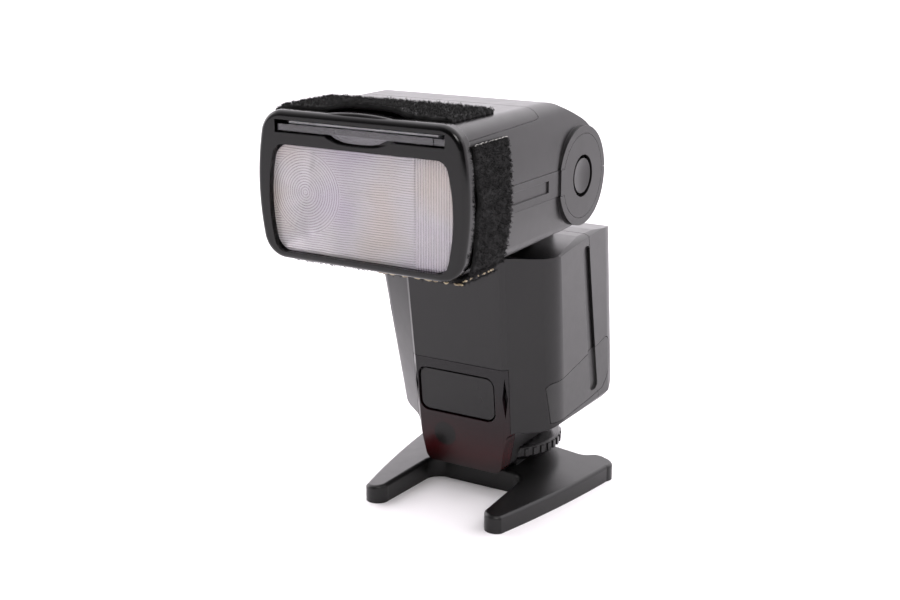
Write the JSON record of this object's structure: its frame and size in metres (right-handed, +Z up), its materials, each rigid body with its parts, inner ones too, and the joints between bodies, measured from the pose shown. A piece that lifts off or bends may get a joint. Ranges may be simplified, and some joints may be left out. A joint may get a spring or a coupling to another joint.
{
  "type": "speedlight flash",
  "caption": "Camera flash with a tilting, swivelling zoom head, hook-and-loop pads round the head, rear controls and a shoe foot in a small table stand.",
  "frame": {"origin": "centre of the tripod socket's mouth in the stand's underside, on the floor", "axes": "+Z up, -Y towards the lens, +X to the viewer's right when facing the lens"},
  "size_m": [0.0794, 0.1196, 0.1447],
  "materials": {
    "black_plastic": "fine satin moulded ABS",
    "panel_plastic": "smooth satin ABS",
    "stand_plastic": "satin moulded plastic",
    "red_window": "glossy translucent dark red",
    "lens_plastic": "clear ribbed acrylic",
    "clear_panel": "clear ribbed acrylic",
    "white_card": "white sheet",
    "rubber_cover": "soft satin",
    "steel": "bright",
    "bright_metal": "polished",
    "foot_metal": "satin",
    "brass": "machined",
    "board": "glass-fibre board",
    "capacitor": "sleeved",
    "copper": "wound wire",
    "cell": "printed sleeve",
    "screen": "clear window",
    "display": "liquid crystal",
    "key_plastic": "satin",
    "loop_fabric": "hook-and-loop pile",
    "tube_glass": "clear",
    "boot_rubber": "white silicone"
  },
  "bodies": {
    "stand": {"stand": "stand_plastic", "stand_thread_insert": "brass"},
    "body": {"mounting_foot": "foot_metal", "clamp_plate": "black_plastic", "foot_screws": "steel", "body_front_shell": "black_plastic", "body_rear_shell": "black_plastic", "front_red_window": "red_window", "sensor_cover": "panel_plastic", "slave_sensor": "key_plastic", "sync_socket": "steel", "power_socket": "key_plastic", "aa_cells": "cell", "battery_tray": "black_plastic", "battery_contacts": "steel", "main_board": "board", "main_capacitor": "capacitor", "charging_transformer": "copper", "rear_panel": "panel_plastic", "lcd_window": "screen", "lcd_module": "display", "control_board": "board", "swivel_bearing": "boot_rubber"},
    "contact": {"foot_contact_pin": "brass"},
    "ring": {"lock_ring": "black_plastic"},
    "flap": {"terminal_cover": "rubber_cover"},
    "door": {"battery_door": "black_plastic"},
    "mode_key": {"mode_button": "key_plastic"},
    "zoom_key": {"zoom_button": "key_plastic"},
    "function_key": {"function_button": "key_plastic"},
    "test_key": {"test_button": "key_plastic"},
    "power_key": {"power_button": "key_plastic"},
    "pad_key": {"four_way_pad": "key_plastic"},
    "ok_key": {"ok_button": "key_plastic"},
    "neck": {"yoke": "black_plastic"},
    "head": {"head_upper_shell": "black_plastic", "head_lower_shell": "black_plastic", "head_top_cover": "black_plastic", "pivot_cover_right": "black_plastic", "pivot_cover_left": "black_plastic", "tilt_button_spring": "steel", "tilt_axle": "steel", "front_bezel": "black_plastic", "fresnel_lens": "lens_plastic", "panel_tray": "key_plastic", "guide_rod": "steel", "zoom_motor": "steel", "loop_pad_top": "loop_fabric", "loop_pad_bottom": "loop_fabric", "loop_pad_right": "loop_fabric", "loop_pad_left": "loop_fabric"},
    "tilt_button": {"tilt_release_button": "key_plastic"},
    "wide": {"wide_panel": "clear_panel"},
    "card": {"bounce_card": "white_card"},
    "zoom": {"reflector": "bright_metal", "flash_tube": "tube_glass", "tube_end_boots": "boot_rubber", "zoom_carriage": "key_plastic"},
    "screw": {"zoom_lead_screw": "steel"}
  },
  "joints": [
    {"name": "shoe_slide", "type": "slide", "parent": "stand", "child": "body", "axis": [0, 1, 0], "range_m": [0, 0.022]},
    {"name": "contact_press", "type": "slide", "parent": "body", "child": "contact", "axis": [0, 0, 1], "range_m": [0, 0.0007], "stiffness_N_per_m": 500, "springref_m": -0.001},
    {"name": "ring_turn", "type": "hinge", "parent": "body", "child": "ring", "pos_m": [0, 0, 0.0144], "axis": [0, 0, 1], "range_deg": [0, 106]},
    {"name": "flap_open", "type": "hinge", "parent": "body", "child": "flap", "pos_m": [0.0307, -0.0206, 0.0375], "axis": [-0.044, 0.2306, -0.9721], "range_deg": [0, 100]},
    {"name": "door_open", "type": "hinge", "parent": "body", "child": "door", "pos_m": [-0.03405, 0.011, 0.0495], "axis": [0, 0, -1], "range_deg": [0, 100]},
    {"name": "swivel", "type": "hinge", "parent": "body", "child": "neck", "pos_m": [0, -0.0155, 0.0965], "axis": [0, 0, 1], "range_deg": [-90, 180]},
    {"name": "ok_press", "type": "slide", "parent": "body", "child": "ok_key", "axis": [0, -0.9895, -0.1444], "range_m": [0, 0.0008], "stiffness_N_per_m": 600, "springref_m": -0.001},
    {"name": "pad_press", "type": "slide", "parent": "body", "child": "pad_key", "axis": [0, -0.9895, -0.1444], "range_m": [0, 0.0008], "stiffness_N_per_m": 600, "springref_m": -0.001},
    {"name": "power_press", "type": "slide", "parent": "body", "child": "power_key", "axis": [0, -0.9895, -0.1444], "range_m": [0, 0.0008], "stiffness_N_per_m": 600, "springref_m": -0.001},
    {"name": "test_press", "type": "slide", "parent": "body", "child": "test_key", "axis": [0, -0.9895, -0.1444], "range_m": [0, 0.0008], "stiffness_N_per_m": 600, "springref_m": -0.001},
    {"name": "function_press", "type": "slide", "parent": "body", "child": "function_key", "axis": [0, -0.9895, -0.1444], "range_m": [0, 0.0008], "stiffness_N_per_m": 600, "springref_m": -0.001},
    {"name": "zoom_press", "type": "slide", "parent": "body", "child": "zoom_key", "axis": [0, -0.9895, -0.1444], "range_m": [0, 0.0008], "stiffness_N_per_m": 600, "springref_m": -0.001},
    {"name": "mode_press", "type": "slide", "parent": "body", "child": "mode_key", "axis": [0, -0.9895, -0.1444], "range_m": [0, 0.0008], "stiffness_N_per_m": 600, "springref_m": -0.001},
    {"name": "tilt", "type": "hinge", "parent": "neck", "child": "head", "pos_m": [0, -0.0155, 0.1177], "axis": [-1, 0, 0], "range_deg": [-7, 90]},
    {"name": "tilt_button_press", "type": "slide", "parent": "head", "child": "tilt_button", "axis": [-1, 0, 0], "range_m": [0, 0.002], "stiffness_N_per_m": 800, "springref_m": -0.002, "deforming": ["tilt_button_spring"]},
    {"name": "wide_panel_pull", "type": "slide", "parent": "head", "child": "wide", "axis": [0, -1, 0], "range_m": [0, 0.036]},
    {"name": "bounce_card_pull", "type": "slide", "parent": "head", "child": "card", "axis": [0, -1, 0], "range_m": [0, 0.036]},
    {"name": "zoom_slide", "type": "slide", "parent": "head", "child": "zoom", "axis": [0, 1, 0], "range_m": [0, 0.0165]},
    {"name": "screw_turn", "type": "hinge", "parent": "head", "child": "screw", "pos_m": [-0.0294, -0.0555, 0.11], "axis": [0, 1, 0], "range_deg": [0, 1980]}
  ],
  "couplings": [
    {"joint": "screw_turn", "follows": "zoom_slide", "rad_per_m": 2094.4}
  ]
}
